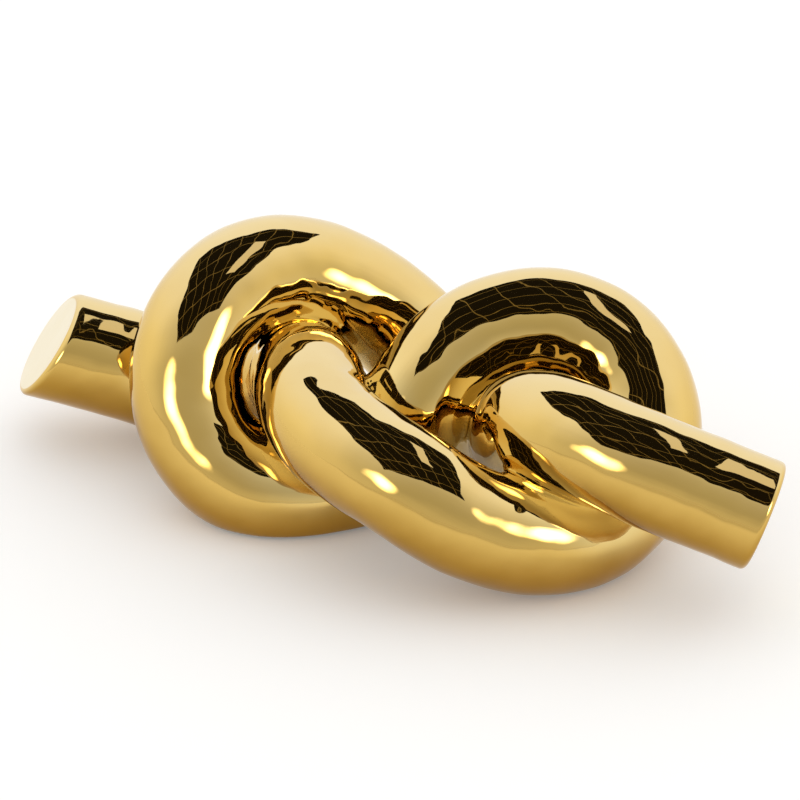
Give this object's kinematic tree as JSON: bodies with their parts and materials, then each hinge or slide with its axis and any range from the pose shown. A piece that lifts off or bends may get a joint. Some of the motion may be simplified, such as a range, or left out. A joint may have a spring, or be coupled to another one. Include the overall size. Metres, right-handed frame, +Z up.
{
  "type": "knot sculpture",
  "caption": "Free-standing ceramic table sculpture: a thick round rope tied in a loose figure-eight knot with cut ends, in mirror-bright gold lustre.",
  "frame": {"origin": "on the table, under the middle of the knot's bounding box", "axes": "+X from the left tail to the right tail as the picture shows it, +Z up, and -Y towards the front strand"},
  "size_m": [0.407, 0.1924, 0.1205],
  "materials": {
    "gold_lustre": "mirror-bright gold lustre over a glazed cast body",
    "felt": "matte pressed felt"
  },
  "bodies": {
    "root": {"left_tail": "gold_lustre", "left_rear_bend": "gold_lustre", "left_eye_bend": "gold_lustre", "front_strand": "gold_lustre", "right_foot_bend": "gold_lustre", "right_loop_side": "gold_lustre", "right_loop_crown": "gold_lustre", "crossing_strand": "gold_lustre", "left_foot_bend": "gold_lustre", "left_loop_side": "gold_lustre", "left_loop_crown": "gold_lustre", "back_strand": "gold_lustre", "right_eye_bend": "gold_lustre", "right_tail": "gold_lustre", "left_end_disc": "gold_lustre", "right_end_disc": "gold_lustre", "rear_felt_pad": "felt", "front_felt_pad": "felt", "left_felt_pad": "felt", "back_felt_pad": "felt"}
  },
  "joints": []
}
